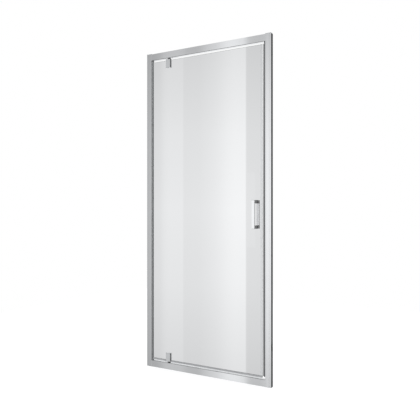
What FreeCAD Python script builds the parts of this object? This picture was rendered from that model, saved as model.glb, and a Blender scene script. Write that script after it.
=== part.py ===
import FreeCAD, Part
import os
import re
import Sketcher
from FreeCAD import Placement, Rotation, Vector

# A framed shower door whose single glass leaf turns on a pivot set in from the hinge side.
# X runs from the hinge jamb to the closing jamb, Y from the room into the shower, Z up.
# The origin is on the floor, under the middle of the leaf. All sizes are in millimetres.

SIZES = (
    # the frame as a whole
    ("overall_width", 800, "wall to wall"),
    ("overall_height", 1850, "floor to the top of the end caps"),
    ("frame_depth", 27, "front to back over a jamb"),
    ("face_width", 33, "wall to the inner face of a jamb"),
    # wall profiles
    ("wall_show", 11, "wall profile that shows beside the jamb"),
    ("wall_leg", 26, "reach of the wall profile's legs from the wall"),
    ("wall_web", 1.6, "thickness of the web against the wall"),
    ("wall_skin", 1.5, "thickness of the legs"),
    ("slide_gap", 0.15, "play between a wall profile and its jamb"),
    ("wall_hole_radius", 3.75, "fixing hole in the web"),
    ("wall_hole_low", 165, "height of the lowest fixing hole"),
    ("wall_hole_high", 110.5, "highest fixing hole below the top of the profile"),
    ("wall_hole_count", 4, "fixing holes in a wall profile"),
    ("wall_slot_middle", 208, "height of the middle of the long slot"),
    ("wall_slot_length", 39, "end to end"),
    ("wall_slot_width", 14, "across"),
    # jambs
    ("jamb_skin", 1.5, "thickness of the legs"),
    ("jamb_web", 1.6, "thickness of the web that faces the leaf"),
    ("jamb_corner", 0.8, "radius of the corners that show"),
    ("groove_mouth", 3.6, "opening of the seal groove"),
    ("groove_width", 6, "width of the seal groove inside"),
    ("groove_depth", 3.2, "depth of the seal groove"),
    ("groove_lip", 1.2, "thickness of the lips at its mouth"),
    ("groove_wall", 1.2, "thickness of the walls round it"),
    ("cap_thickness", 2.5, "end cap above a jamb"),
    ("cap_corner", 1.5, "corner radius of an end cap"),
    ("cap_bevel", 0.5, "bevel round the top of an end cap"),
    ("plug_depth", 10, "plug under an end cap"),
    ("plug_reach", 21, "far side of the plug from the wall"),
    ("plug_wall", 1.8, "thickness of the plug's walls"),
    ("plug_gap", 0.25, "play of the plug in the wall profile"),
    # rails
    ("rail_height", 38, "height of the top and bottom rails"),
    ("rail_recess", 1.3, "rail set back from the face of the jambs"),
    ("rail_skin", 1.5, "thickness of a rail's outer walls"),
    ("rail_rib", 1.4, "thickness of the rib between its two chambers"),
    ("rail_bevel", 1.6, "bevel along the edges that face the leaf"),
    ("port_spread", 8, "screw port from the middle of the rail"),
    ("port_radius", 3.1, "outside of a screw port"),
    ("corner_screw_radius", 1.7, "self-tapping corner screw"),
    ("corner_screw_grip", 18, "length of a corner screw in its port"),
    ("corner_head_radius", 3.4, "head of a corner screw"),
    ("corner_head_height", 2.4, "height of that head"),
    ("screw_play", 0.05, "play of a screw in the hole it grips"),
    ("screw_clearance", 0.35, "play of a screw in the hole it passes"),
    # width screws, on the shower side
    ("width_screw_low", 200, "height of the lowest width screw"),
    ("width_screw_pitch", 725, "from one width screw to the next"),
    ("width_screw_count", 3, "width screws in a jamb"),
    ("width_screw_radius", 1.9, "width screw"),
    ("width_screw_length", 7, "under its head"),
    ("width_head_radius", 3.6, "head of a width screw"),
    ("width_head_height", 2.1, "height of that head"),
    ("cover_radius", 6, "cap over a width screw"),
    ("cover_rim", 1.2, "straight rim of that cap"),
    ("cover_height", 3.2, "height of that cap"),
    ("cover_play", 0.3, "room over the head under the cap"),
    # the leaf
    ("glass_thickness", 6, "toughened glass"),
    ("glass_edge", 0.5, "ground edge of the glass"),
    ("hinge_gap", 4, "jamb to glass on the hinge side"),
    ("gap_over_leaf", 10, "top rail to glass"),
    ("gap_under_leaf", 11, "bottom rail to glass"),
    ("pivot_inset", 151, "wall to the pivot axis"),
    # pivot blocks, clamped through the glass at both ends of the axis
    ("block_width", 29, "across the leaf"),
    ("block_height", 49, "along the leaf"),
    ("block_front", 14, "middle of the glass to the front of a block"),
    ("block_overhang", 3, "block past the edge of the glass"),
    ("block_corner", 1.5, "radius of its front edges"),
    ("bridge_clearance", 0.4, "glass edge to the bridge over it"),
    ("pad_thickness", 0.8, "gasket on each side of the glass"),
    ("lug_width", 16, "lug that fills the notch in the glass"),
    ("lug_depth", 10, "lug below the edge of the glass"),
    ("notch_play", 2, "glass round the lug"),
    ("notch_corner", 3, "inner corners of the notch"),
    ("plate_width", 24, "clamp plate behind the glass"),
    ("plate_thickness", 4.5, "thickness of that plate"),
    ("plate_margin", 2, "block below the end of the plate"),
    ("plate_corner", 1, "radius of the plate's back edges"),
    ("clamp_near", 21, "glass edge to the first clamp screw"),
    ("clamp_pitch", 17, "from one clamp screw to the other"),
    ("clamp_radius", 2.5, "clamp screw"),
    ("clamp_grip", 6.5, "length of a clamp screw in the block"),
    ("clamp_head_radius", 4.6, "countersunk head"),
    ("sleeve_wall", 2.1, "sleeve round a clamp screw"),
    ("sleeve_play", 0.2, "play of a sleeve in its hole"),
    # pivots
    ("journal_radius", 4, "pin where it turns in the bush"),
    ("journal_play", 0.05, "running play of the pin in the bush"),
    ("journal_depth", 10, "pin inside the rail"),
    ("journal_tip", 0.8, "bevel at the end of the pin"),
    ("collar_radius", 6, "collar between block and bush"),
    ("spigot_radius", 2.5, "end of the pin that screws into the lug"),
    ("spigot_depth", 9, "that end below the edge of the glass"),
    ("pivot_play", 0.2, "end play of a pin"),
    ("bush_radius", 7, "bush in the rail"),
    ("bush_length", 13, "bush from the face of the rail"),
    ("bush_end", 1.5, "closed end of the bush"),
    ("flange_radius", 10, "flange of the bush"),
    ("flange_thickness", 1.5, "thickness of that flange"),
    ("washer_radius", 7.5, "washer that carries the leaf"),
    ("washer_thickness", 1, "thickness of that washer"),
    ("carrier_length", 62, "block inside the rail that holds the bush"),
    ("carrier_height", 12.5, "height of that block"),
    ("carrier_corner", 3, "its upright corners"),
    ("carrier_play", 0.3, "its play in the chamber of the rail"),
    ("carrier_pitch", 44, "between the two screws of a carrier"),
    ("carrier_screw_radius", 2, "countersunk carrier screw"),
    ("carrier_screw_length", 12, "its length"),
    ("carrier_head_radius", 3.4, "its head"),
    # seals
    ("seal_skin", 1, "thickness of the seals' walls"),
    ("seal_play", 0.05, "seal on the glass"),
    ("clip_length", 12, "closing seal over the face of the glass"),
    ("closing_reach", 10, "closing seal past the edge of the glass"),
    ("closing_half", 5, "half the width of its magnet chamber"),
    ("closing_web", 2.5, "edge of the glass to the magnet chamber"),
    ("closing_gap", 0.5, "between the two magnet seals"),
    ("strike_proud", 9.5, "strike seal in front of the jamb"),
    ("strike_half", 6, "half its width"),
    ("strike_web", 2, "jamb to its magnet chamber"),
    ("strike_lift", 12, "bottom rail to the end of the strike seal"),
    ("magnet_play", 0.1, "play of a magnet in its chamber"),
    ("foot_play", 0.2, "play of a seal's foot in the jamb's groove"),
    ("hinge_seal_half", 3.2, "half the width of the hinge seal"),
    ("hinge_seal_gap", 0.5, "hinge seal to the glass"),
    ("hinge_seal_nose", 2, "radius of its nose"),
    ("drip_leg", 3, "bottom seal up the face of the glass"),
    ("drip_chamber", 5, "its chamber under the glass"),
    ("drip_blade", 1.2, "thickness of its blade"),
    ("drip_gap", 1, "blade to the bottom rail"),
    ("drip_setback", 1, "bottom seal to a pivot block, and to the edges of the glass"),
    # handles, one on each side of the glass
    ("handle_inset", 93, "wall to the middle of the handles"),
    ("handle_level", 902.5, "height of the middle of the handles"),
    ("handle_height", 152, "end to end"),
    ("handle_width", 17, "across"),
    ("handle_bar", 5, "thickness of the grip"),
    ("handle_leg", 17, "height of a leg"),
    ("handle_reach", 35, "middle of the glass to the face of the grip"),
    ("handle_corner", 1.5, "outer corners"),
    ("handle_fillet", 1, "inner corners"),
    ("handle_edge", 0.5, "long edges of the grip"),
    ("gasket_lip", 0.4, "gasket past a leg, all round"),
    ("stud_radius", 3, "stud that joins the two handles"),
    ("stud_grip", 16, "stud inside a leg"),
    ("stud_bore_spare", 2, "bore past the end of the stud"),
    ("glass_hole_radius", 6, "hole for the handle's sleeve"),
    ("grub_radius", 2, "grub screw that locks a stud"),
    ("grub_setback", 9, "gasket to the middle of the grub screw"),
    ("grub_sink", 1, "grub screw below the side of the leg"),
)

SHEET = "Sizes"
ALIASES = {alias for alias, value, note in SIZES}

LEFT, RIGHT = -1, 1
UPRIGHT = Rotation()
UPSIDE_DOWN = Rotation(Vector(0, 1, 0), 180)
ROLLED_OVER = Rotation(Vector(1, 0, 0), 180)

# Lengths that several pieces share, as formulas on the sheet.
POST_HEIGHT = "(overall_height - cap_thickness)"
RAIL_UNDERSIDE = "(overall_height - cap_thickness - rail_height)"
RAIL_HALF = "(frame_depth / 2 - rail_recess)"
WALL_HALF = "(frame_depth / 2 - jamb_skin - slide_gap)"
WALL_HOLE_SPAN = POST_HEIGHT + " - wall_hole_low - wall_hole_high"
GLASS_BOTTOM = "(rail_height + gap_under_leaf)"
GLASS_TOP = "(overall_height - cap_thickness - rail_height - gap_over_leaf)"
GLASS_LEFT = "(face_width + hinge_gap - overall_width / 2)"
GLASS_RIGHT = "(overall_width / 2 - face_width - strike_proud - closing_gap - closing_reach)"
PIVOT_X = "(pivot_inset - overall_width / 2)"
PAD_FACE = "(glass_thickness / 2 + pad_thickness)"
CLIP_HALF = "(glass_thickness / 2 + seal_play + seal_skin)"
SLEEVE_RADIUS = "(clamp_radius + screw_clearance + sleeve_wall)"
HANDLE_PITCH = "(handle_height - handle_leg)"
STRIKE_FOOT = "(groove_lip + foot_play / 2)"
FOOT_END = "(groove_depth - foot_play)"
WIDTH_SCREW_INSET = "((wall_show + wall_leg) / 2)"

doc = FreeCAD.newDocument("PivotShowerDoor")
sheet = doc.addObject("Spreadsheet::Sheet", SHEET)
for row, (alias, size, note) in enumerate(SIZES, start=1):
    sheet.set("A%d" % row, alias)
    sheet.set("B%d" % row, str(size))
    sheet.set("C%d" % row, note)
    sheet.setAlias("B%d" % row, alias)
doc.recompute()

pieces = []


# ---------------------------------------------------------------- drawing helpers


def on_sheet(formula):
    """The formula with every size in it written as a reference to its cell."""
    def cell(word):
        name = word.group()
        return "%s.%s" % (SHEET, name) if name in ALIASES else name
    return re.sub(r"[a-z_]+", cell, formula)


def value(formula):
    """What a formula comes to now."""
    return float(sheet.evalExpression(on_sheet(formula)))


def piece(label, x="0", y="0", z="0", turn=UPRIGHT):
    """A new sub-part at a place worked out from the sheet."""
    body = doc.addObject("PartDesign::Body", label)
    body.Label = label
    body.Placement = Placement(Vector(value(x), value(y), value(z)), turn)
    for axis, formula in (("x", x), ("y", y), ("z", z)):
        body.setExpression("Placement.Base." + axis, on_sheet(formula))
    pieces.append(body)
    return body


def datum(body, role):
    """One of the body's own origin planes or axes."""
    return next(item for item in body.Origin.OriginFeatures if item.Role == role)


def sketch_on(body, role, x="0", y="0", level="0"):
    """An empty sketch on an origin plane, moved in that plane and raised off it."""
    sketch = body.newObject("Sketcher::SketchObject", body.Label + "_sketch")
    sketch.AttachmentSupport = (datum(body, role), [""])
    sketch.MapMode = "FlatFace"
    for axis, formula in (("x", x), ("y", y), ("z", level)):
        sketch.setExpression("AttachmentOffset.Base." + axis, on_sheet(formula))
    return sketch


def hold(sketch, kind, places, formula):
    """A dimension in the sketch that follows a formula."""
    index = sketch.addConstraint(Sketcher.Constraint(kind, *places, value(formula)))
    sketch.setExpression("Constraints[%d]" % index, on_sheet(formula))


def hold_point(sketch, edge, end, x, y):
    """Hold one end, or the centre, of an edge at its place from the sketch's origin."""
    hold(sketch, "DistanceX", (-1, 1, edge, end), x)
    hold(sketch, "DistanceY", (-1, 1, edge, end), y)


def outline(sketch, corners):
    """A closed outline of straight lines through the corners."""
    points = [Vector(value(x), value(y), 0) for x, y in corners]
    first = sketch.GeometryCount
    for start, end in zip(points, points[1:] + points[:1]):
        sketch.addGeometry(Part.LineSegment(start, end))
    for i in range(len(points)):
        following = first + (i + 1) % len(points)
        sketch.addConstraint(Sketcher.Constraint("Coincident", first + i, 2, following, 1))
    for i, (x, y) in enumerate(corners):
        hold_point(sketch, first + i, 1, x, y)


def rectangle(sketch, x_low, x_high, y_low, y_high):
    """A rectangle between two pairs of formulas."""
    outline(sketch, ((x_low, y_low), (x_high, y_low), (x_high, y_high), (x_low, y_high)))


def circle(sketch, x, y, radius):
    """A circle round a point."""
    centre = Vector(value(x), value(y), 0)
    edge = sketch.addGeometry(Part.Circle(centre, Vector(0, 0, 1), value(radius)))
    hold(sketch, "Radius", (edge,), radius)
    hold_point(sketch, edge, 3, x, y)


def upright_slot(sketch, x, y, length, width):
    """A slot with round ends that stands on end, round a point."""
    half = "(%s) / 2" % width
    reach = "((%s) - (%s)) / 2" % (length, width)
    normal = Vector(0, 0, 1)
    turn = 3.141592653589793
    ends = []
    for sign, start in (("+", 0), ("-", turn)):
        centre = Vector(value(x), value("(%s) %s %s" % (y, sign, reach)), 0)
        ring = Part.Circle(centre, normal, value(half))
        edge = sketch.addGeometry(Part.ArcOfCircle(ring, start, start + turn))
        hold(sketch, "Radius", (edge,), half)
        hold_point(sketch, edge, 3, x, "(%s) %s %s" % (y, sign, reach))
        ends.append(edge)
    top, bottom = ends
    for leave, arrive in (((top, 2), (bottom, 1)), ((bottom, 2), (top, 1))):
        start = sketch.getPoint(*leave)
        end = sketch.getPoint(*arrive)
        side = sketch.addGeometry(Part.LineSegment(start, end))
        sketch.addConstraint(Sketcher.Constraint("Tangent", leave[0], leave[1], side, 1))
        sketch.addConstraint(Sketcher.Constraint("Tangent", side, 2, arrive[0], arrive[1]))


# ---------------------------------------------------------------- feature helpers


def finish(body, feature):
    """Rebuild, and make the feature the body's latest."""
    body.Tip = feature
    doc.recompute()
    return feature


def pad(body, sketch, length, both_ways=False, back=False):
    """Give the sketch a length along its normal, or half each way, or backwards."""
    feature = body.newObject("PartDesign::Pad", body.Label + "_pad")
    feature.Profile = sketch
    feature.SideType = "Symmetric" if both_ways else "One side"
    feature.Reversed = back
    feature.setExpression("Length", on_sheet(length))
    return finish(body, feature)


def pocket(body, sketch, length=None, along_normal=False):
    """Cut the sketch to a depth, or right through both ways where none is given."""
    before = body.Shape.Volume
    feature = body.newObject("PartDesign::Pocket", body.Label + "_pocket")
    feature.Profile = sketch
    if length is None:
        feature.Type = "ThroughAll"
        feature.SideType = "Symmetric"
    else:
        feature.setExpression("Length", on_sheet(length))
        feature.Reversed = along_normal
    finish(body, feature)
    if body.Shape.Volume >= before:
        raise RuntimeError("a pocket in %s cuts nothing" % body.Label)
    return feature


def revolve(body, sketch, axis):
    """Turn the sketch right round its own horizontal or vertical axis."""
    feature = body.newObject("PartDesign::Revolution", body.Label + "_revolution")
    feature.Profile = sketch
    feature.ReferenceAxis = (sketch, [axis])
    feature.Angle = 360
    return finish(body, feature)


def dress(body, kind, size, wanted):
    """Fillet or chamfer the edges that the test picks out."""
    base = body.Tip
    edges = base.Shape.Edges
    names = ["Edge%d" % i for i, edge in enumerate(edges, start=1) if wanted(edge)]
    if not names:
        raise RuntimeError("no edge of %s to dress" % body.Label)
    feature = body.newObject("PartDesign::" + kind, body.Label + "_" + kind.lower())
    feature.Base = (base, names)
    feature.setExpression("Radius" if kind == "Fillet" else "Size", on_sheet(size))
    return finish(body, feature)


def near(a, b):
    return abs(a - b) < 1e-4


def lies_at(edge, x=None, y=None, z=None):
    """Does the whole edge lie at the given coordinates?"""
    box = edge.BoundBox
    wanted = ((x, box.XMin, box.XMax), (y, box.YMin, box.YMax), (z, box.ZMin, box.ZMax))
    return all(at is None or (near(at, low) and near(at, high)) for at, low, high in wanted)


def straight(edge):
    return isinstance(edge.Curve, Part.Line)


def runs_along(edge, axis, shortest=0.0):
    """Is the edge a straight one along an axis, of some length?"""
    if not straight(edge) or edge.Length < shortest:
        return False
    direction = (edge.Vertexes[1].Point - edge.Vertexes[0].Point).normalize()
    return near(abs(direction.dot(axis)), 1)


def row_of(body, feature, role, length, count):
    """Repeat a feature evenly along an origin axis."""
    pattern = body.newObject("PartDesign::LinearPattern", body.Label + "_row")
    pattern.Originals = [feature]
    pattern.Direction = (datum(body, role), [""])
    pattern.setExpression("Length", on_sheet(length))
    pattern.setExpression("Occurrences", on_sheet(count))
    return finish(body, pattern)


def repeated(body, feature, mirrors=(), rows=()):
    """Repeat a feature by mirrors in origin planes and by even rows along origin axes."""
    whole = body.newObject("PartDesign::MultiTransform", body.Label + "_copies")
    whole.Originals = [feature]
    steps = []
    for role in mirrors:
        mirror = body.newObject("PartDesign::Mirrored", body.Label + "_mirror")
        mirror.MirrorPlane = (datum(body, role), [""])
        steps.append(mirror)
    for role, length, count in rows:
        pattern = body.newObject("PartDesign::LinearPattern", body.Label + "_row")
        pattern.Direction = (datum(body, role), [""])
        pattern.setExpression("Length", on_sheet(length))
        pattern.setExpression("Occurrences", on_sheet(count))
        steps.append(pattern)
    whole.Transformations = steps
    return finish(body, whole)


def inward(side, formula):
    """A distance from the wall towards the leaf, as an X in a piece that stands at that wall."""
    return "-(%s)" % formula if side == RIGHT else "(%s)" % formula


def wall_x(side):
    return "%d * overall_width / 2" % side


# ---------------------------------------------------------------- the fixed frame


def wall_profile(label, side):
    """The channel that is screwed to the wall, open towards its jamb."""
    body = piece(label, x=wall_x(side))
    section = sketch_on(body, "XY_Plane")
    leg_inside = "(%s - wall_skin)" % WALL_HALF
    half = (
        ("0", WALL_HALF),
        ("wall_leg", WALL_HALF),
        ("wall_leg", leg_inside),
        ("wall_web", leg_inside),
    )
    mirrored = [(x, "-" + y) for x, y in reversed(half)]
    outline(section, [(inward(side, x), y) for x, y in list(half) + mirrored])
    pad(body, section, POST_HEIGHT)
    hole = sketch_on(body, "YZ_Plane")
    circle(hole, "0", "wall_hole_low", "wall_hole_radius")
    cut = pocket(body, hole)
    row_of(body, cut, "Z_Axis", WALL_HOLE_SPAN, "wall_hole_count")
    slot = sketch_on(body, "YZ_Plane")
    upright_slot(slot, "0", "wall_slot_middle", "wall_slot_length", "wall_slot_width")
    pocket(body, slot)
    screw_row(body, side, "width_screw_radius + screw_play")


def screw_row(body, side, radius):
    """Holes for the width screws through a profile's leg on the shower side."""
    hole = sketch_on(body, "XZ_Plane")
    circle(hole, inward(side, WIDTH_SCREW_INSET), "width_screw_low", radius)
    cut = pocket(body, hole, "frame_depth / 2", along_normal=False)
    row_of(body, cut, "Z_Axis", "width_screw_pitch * (width_screw_count - 1)", "width_screw_count")


def jamb(label, side):
    """The upright that slides over its wall profile, with a seal groove in its web."""
    body = piece(label, x=wall_x(side))
    section = sketch_on(body, "XY_Plane")
    groove_back = "(face_width - groove_depth - groove_wall)"
    groove_side = "(groove_width / 2 + groove_wall)"
    half = (
        ("face_width - groove_depth", "groove_width / 2"),
        ("face_width - groove_lip", "groove_width / 2"),
        ("face_width - groove_lip", "groove_mouth / 2"),
        ("face_width", "groove_mouth / 2"),
        ("face_width", "frame_depth / 2"),
        ("wall_show", "frame_depth / 2"),
        ("wall_show", "(frame_depth / 2 - jamb_skin)"),
        ("face_width - jamb_web", "(frame_depth / 2 - jamb_skin)"),
        ("face_width - jamb_web", groove_side),
        (groove_back, groove_side),
    )
    mirrored = [(x, "-" + y) for x, y in reversed(half)]
    outline(section, [(inward(side, x), y) for x, y in list(half) + mirrored])
    pad(body, section, POST_HEIGHT)
    inner_face = value(inward(side, "face_width"))
    front = value("frame_depth / 2")
    dress(body, "Fillet", "jamb_corner", lambda edge: runs_along(edge, Vector(0, 0, 1))
          and lies_at(edge, x=inner_face) and near(abs(edge.Vertexes[0].Y), front))
    holes = sketch_on(body, "YZ_Plane")
    for y in ("port_spread", "-port_spread"):
        circle(holes, y, "rail_height / 2", "corner_screw_radius + screw_clearance")
    cut = pocket(body, holes)
    row_of(body, cut, "Z_Axis", "%s - rail_height" % POST_HEIGHT, "2")
    screw_row(body, side, "width_screw_radius + screw_clearance")


def end_cap(label, side):
    """The cap on top of a jamb and its wall profile, with a hollow plug below."""
    body = piece(label, x=wall_x(side), z=POST_HEIGHT)
    plate = sketch_on(body, "XY_Plane")
    rectangle(plate, inward(side, "0"), inward(side, "face_width"),
              "-frame_depth / 2", "frame_depth / 2")
    pad(body, plate, "cap_thickness")
    dress(body, "Fillet", "cap_corner", lambda edge: runs_along(edge, Vector(0, 0, 1)))
    top = value("cap_thickness")
    dress(body, "Chamfer", "cap_bevel", lambda edge: lies_at(edge, z=top))
    plug = sketch_on(body, "XY_Plane")
    near_wall = "(wall_web + plug_gap)"
    half = "(%s - wall_skin - plug_gap)" % WALL_HALF
    rectangle(plug, inward(side, near_wall), inward(side, "plug_reach"), "-" + half, half)
    rectangle(plug, inward(side, near_wall + " + plug_wall"),
              inward(side, "plug_reach - plug_wall"),
              "plug_wall - " + half, half + " - plug_wall")
    pad(body, plug, "plug_depth", back=True)


def rail(label, level, turn):
    """A rail between the jambs: two chambers with a rib, and screw ports on the rib.

    It is drawn with the face that the leaf runs past at the bottom.
    """
    body = piece(label, z=level, turn=turn)
    section = sketch_on(body, "YZ_Plane")
    outline(section, (
        ("rail_bevel - " + RAIL_HALF, "0"),
        (RAIL_HALF + " - rail_bevel", "0"),
        (RAIL_HALF, "rail_bevel"),
        (RAIL_HALF, "rail_height"),
        ("-" + RAIL_HALF, "rail_height"),
        ("-" + RAIL_HALF, "rail_bevel"),
    ))
    inside = "(%s - rail_skin)" % RAIL_HALF
    rectangle(section, "-" + inside, inside, "rail_skin", "(rail_height - rail_rib) / 2")
    rectangle(section, "-" + inside, inside,
              "(rail_height + rail_rib) / 2", "rail_height - rail_skin")
    span = "overall_width - 2 * face_width"
    pad(body, section, span, both_ways=True)
    ports = sketch_on(body, "YZ_Plane")
    bores = sketch_on(body, "YZ_Plane")
    for y in ("port_spread", "-port_spread"):
        circle(ports, y, "rail_height / 2", "port_radius")
        circle(bores, y, "rail_height / 2", "corner_screw_radius + screw_play")
    pad(body, ports, span, both_ways=True)
    pocket(body, bores)
    seat = sketch_on(body, "XY_Plane")
    circle(seat, PIVOT_X, "0", "bush_radius + screw_play")
    for shift in ("+", "-"):
        circle(seat, "%s %s carrier_pitch / 2" % (PIVOT_X, shift), "0",
               "carrier_screw_radius + screw_play")
    pocket(body, seat, "rail_skin", along_normal=True)
    small = value("carrier_screw_radius + screw_play")
    dress(body, "Chamfer", "carrier_head_radius - carrier_screw_radius",
          lambda edge: not straight(edge) and lies_at(edge, z=0.0)
          and near(edge.BoundBox.XLength, 2 * small))


def corner_screws():
    """The self-tapping screws through the jambs into the ends of the rails."""
    body = piece("corner_screws")
    profile = sketch_on(body, "XY_Plane", x="face_width - jamb_web - overall_width / 2",
                        y="port_spread", level="rail_height / 2")
    outline(profile, (
        ("-corner_head_height", "0"),
        ("-corner_head_height", "corner_head_radius * 0.7"),
        ("-corner_head_height * 0.5", "corner_head_radius"),
        ("0", "corner_head_radius"),
        ("0", "corner_screw_radius"),
        ("jamb_web + corner_screw_grip - corner_screw_radius", "corner_screw_radius"),
        ("jamb_web + corner_screw_grip", "0"),
    ))
    screw = revolve(body, profile, "H_Axis")
    repeated(body, screw, mirrors=("XZ_Plane", "YZ_Plane"),
             rows=(("Z_Axis", "%s - rail_height" % POST_HEIGHT, "2"),))


def width_fastener(label, corners):
    """Six copies of a turned piece on the shower side of the jambs."""
    body = piece(label)
    profile = sketch_on(body, "XY_Plane", x="%s - overall_width / 2" % WIDTH_SCREW_INSET,
                        y="frame_depth / 2", level="width_screw_low")
    outline(profile, corners)
    turned = revolve(body, profile, "V_Axis")
    repeated(body, turned, mirrors=("YZ_Plane",), rows=(
        ("Z_Axis", "width_screw_pitch * (width_screw_count - 1)", "width_screw_count"),))


def width_screws():
    """The screws that lock each jamb on its wall profile."""
    width_fastener("width_screws", (
        ("0", "-width_screw_length"),
        ("width_screw_radius", "width_screw_radius - width_screw_length"),
        ("width_screw_radius", "0"),
        ("width_head_radius", "0"),
        ("width_head_radius", "width_head_height * 0.5"),
        ("width_head_radius * 0.7", "width_head_height"),
        ("0", "width_head_height"),
    ))


def width_screw_caps():
    """The caps over those screws."""
    width_fastener("width_screw_caps", (
        ("width_head_radius + cover_play", "0"),
        ("cover_radius", "0"),
        ("cover_radius", "cover_rim"),
        ("cover_radius - (cover_height - cover_rim) / 2", "(cover_height + cover_rim) / 2"),
        ("cover_radius - (cover_height - cover_rim) * 1.4", "cover_height"),
        ("0", "cover_height"),
        ("0", "width_head_height + cover_play"),
        ("width_head_radius + cover_play", "width_head_height + cover_play"),
    ))


def jamb_seal(label, side, bottom, proud, half, chamber):
    """A seal with its foot in a jamb's groove, up to the top rail."""
    body = piece(label, x=wall_x(side), z=bottom)
    section = sketch_on(body, "XY_Plane")
    foot_half = "(groove_width - foot_play) / 2"
    neck_half = "(groove_mouth - foot_play) / 2"
    right_side = (
        ("face_width - " + FOOT_END, foot_half),
        ("face_width - " + STRIKE_FOOT, foot_half),
        ("face_width - " + STRIKE_FOOT, neck_half),
        ("face_width", neck_half),
        ("face_width", half),
        ("face_width + " + proud, half),
    )
    left_side = [(x, "-" + y) for x, y in reversed(right_side)]
    outline(section, [(inward(side, x), y) for x, y in list(right_side) + left_side])
    x_low, x_high, chamber_half = chamber
    rectangle(section, inward(side, x_low), inward(side, x_high),
              "-" + chamber_half, chamber_half)
    pad(body, section, "%s - %s" % (RAIL_UNDERSIDE, bottom))
    return body


def strike_seal():
    """The dark seal on the closing jamb that holds the strike magnet."""
    jamb_seal("strike_seal", RIGHT, "(rail_height + strike_lift)", "strike_proud",
              "strike_half", ("face_width + strike_web",
                              "face_width + strike_proud - seal_skin",
                              "(strike_half - seal_skin)"))


def hinge_seal():
    """The soft seal on the hinge jamb, just clear of the glass."""
    proud = "(hinge_gap - hinge_seal_gap)"
    body = jamb_seal("hinge_seal", LEFT, "rail_height", proud, "hinge_seal_half",
                     ("face_width + seal_skin * 0.7",
                      "face_width + %s - seal_skin" % proud,
                      "(hinge_seal_half - seal_skin)"))
    nose = value("face_width + %s" % proud)
    dress(body, "Fillet", "hinge_seal_nose",
          lambda edge: runs_along(edge, Vector(0, 0, 1)) and lies_at(edge, x=nose))


def strike_magnet():
    """The magnetic strip inside the strike seal."""
    body = piece("strike_magnet", x=wall_x(RIGHT), z="rail_height + strike_lift")
    section = sketch_on(body, "XY_Plane")
    half = "(strike_half - seal_skin - magnet_play)"
    rectangle(section, inward(RIGHT, "face_width + strike_web + magnet_play"),
              inward(RIGHT, "face_width + strike_proud - seal_skin - magnet_play"),
              "-" + half, half)
    pad(body, section, "%s - rail_height - strike_lift" % RAIL_UNDERSIDE)


# ---------------------------------------------------------------- what the rails hold


def bush(label, level, turn):
    """The flanged bush in a rail, closed at its far end."""
    body = piece(label, x=PIVOT_X, z=level, turn=turn)
    bore = "journal_radius + journal_play"
    profile = sketch_on(body, "XZ_Plane")
    outline(profile, (
        (bore, "-flange_thickness"),
        ("flange_radius", "-flange_thickness"),
        ("flange_radius", "0"),
        ("bush_radius", "0"),
        ("bush_radius", "bush_length"),
        ("0", "bush_length"),
        ("0", "bush_length - bush_end"),
        (bore, "bush_length - bush_end"),
    ))
    revolve(body, profile, "V_Axis")


def carrier(label, level, turn):
    """The block inside a rail that holds the bush square."""
    body = piece(label, x=PIVOT_X, z=level, turn=turn)
    section = sketch_on(body, "XY_Plane", level="rail_skin")
    half = "(%s - rail_skin - carrier_play)" % RAIL_HALF
    rectangle(section, "-carrier_length / 2", "carrier_length / 2", "-" + half, half)
    circle(section, "0", "0", "bush_radius + screw_play")
    for x in ("carrier_pitch / 2", "-carrier_pitch / 2"):
        circle(section, x, "0", "carrier_screw_radius + screw_play")
    pad(body, section, "carrier_height")
    corner = value("carrier_length / 2")
    dress(body, "Fillet", "carrier_corner", lambda edge: runs_along(edge, Vector(0, 0, 1))
          and near(abs(edge.Vertexes[0].X), corner))


def carrier_screws(label, level, turn):
    """The two countersunk screws from a rail's face into its carrier."""
    body = piece(label, x=PIVOT_X, z=level, turn=turn)
    profile = sketch_on(body, "XZ_Plane", x="carrier_pitch / 2")
    outline(profile, (
        ("0", "0"),
        ("carrier_head_radius", "0"),
        ("carrier_screw_radius", "carrier_head_radius - carrier_screw_radius"),
        ("carrier_screw_radius", "carrier_screw_length - carrier_screw_radius"),
        ("0", "carrier_screw_length"),
    ))
    screw = revolve(body, profile, "V_Axis")
    repeated(body, screw, mirrors=("YZ_Plane",))


def thrust_washer():
    """The washer on the lower bush that the leaf's weight rests on."""
    body = piece("thrust_washer", x=PIVOT_X, z="rail_height", turn=UPSIDE_DOWN)
    profile = sketch_on(body, "XZ_Plane")
    rectangle(profile, "journal_radius + screw_clearance", "washer_radius",
              "-flange_thickness - washer_thickness", "-flange_thickness")
    revolve(body, profile, "V_Axis")


# ---------------------------------------------------------------- the leaf


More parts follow.
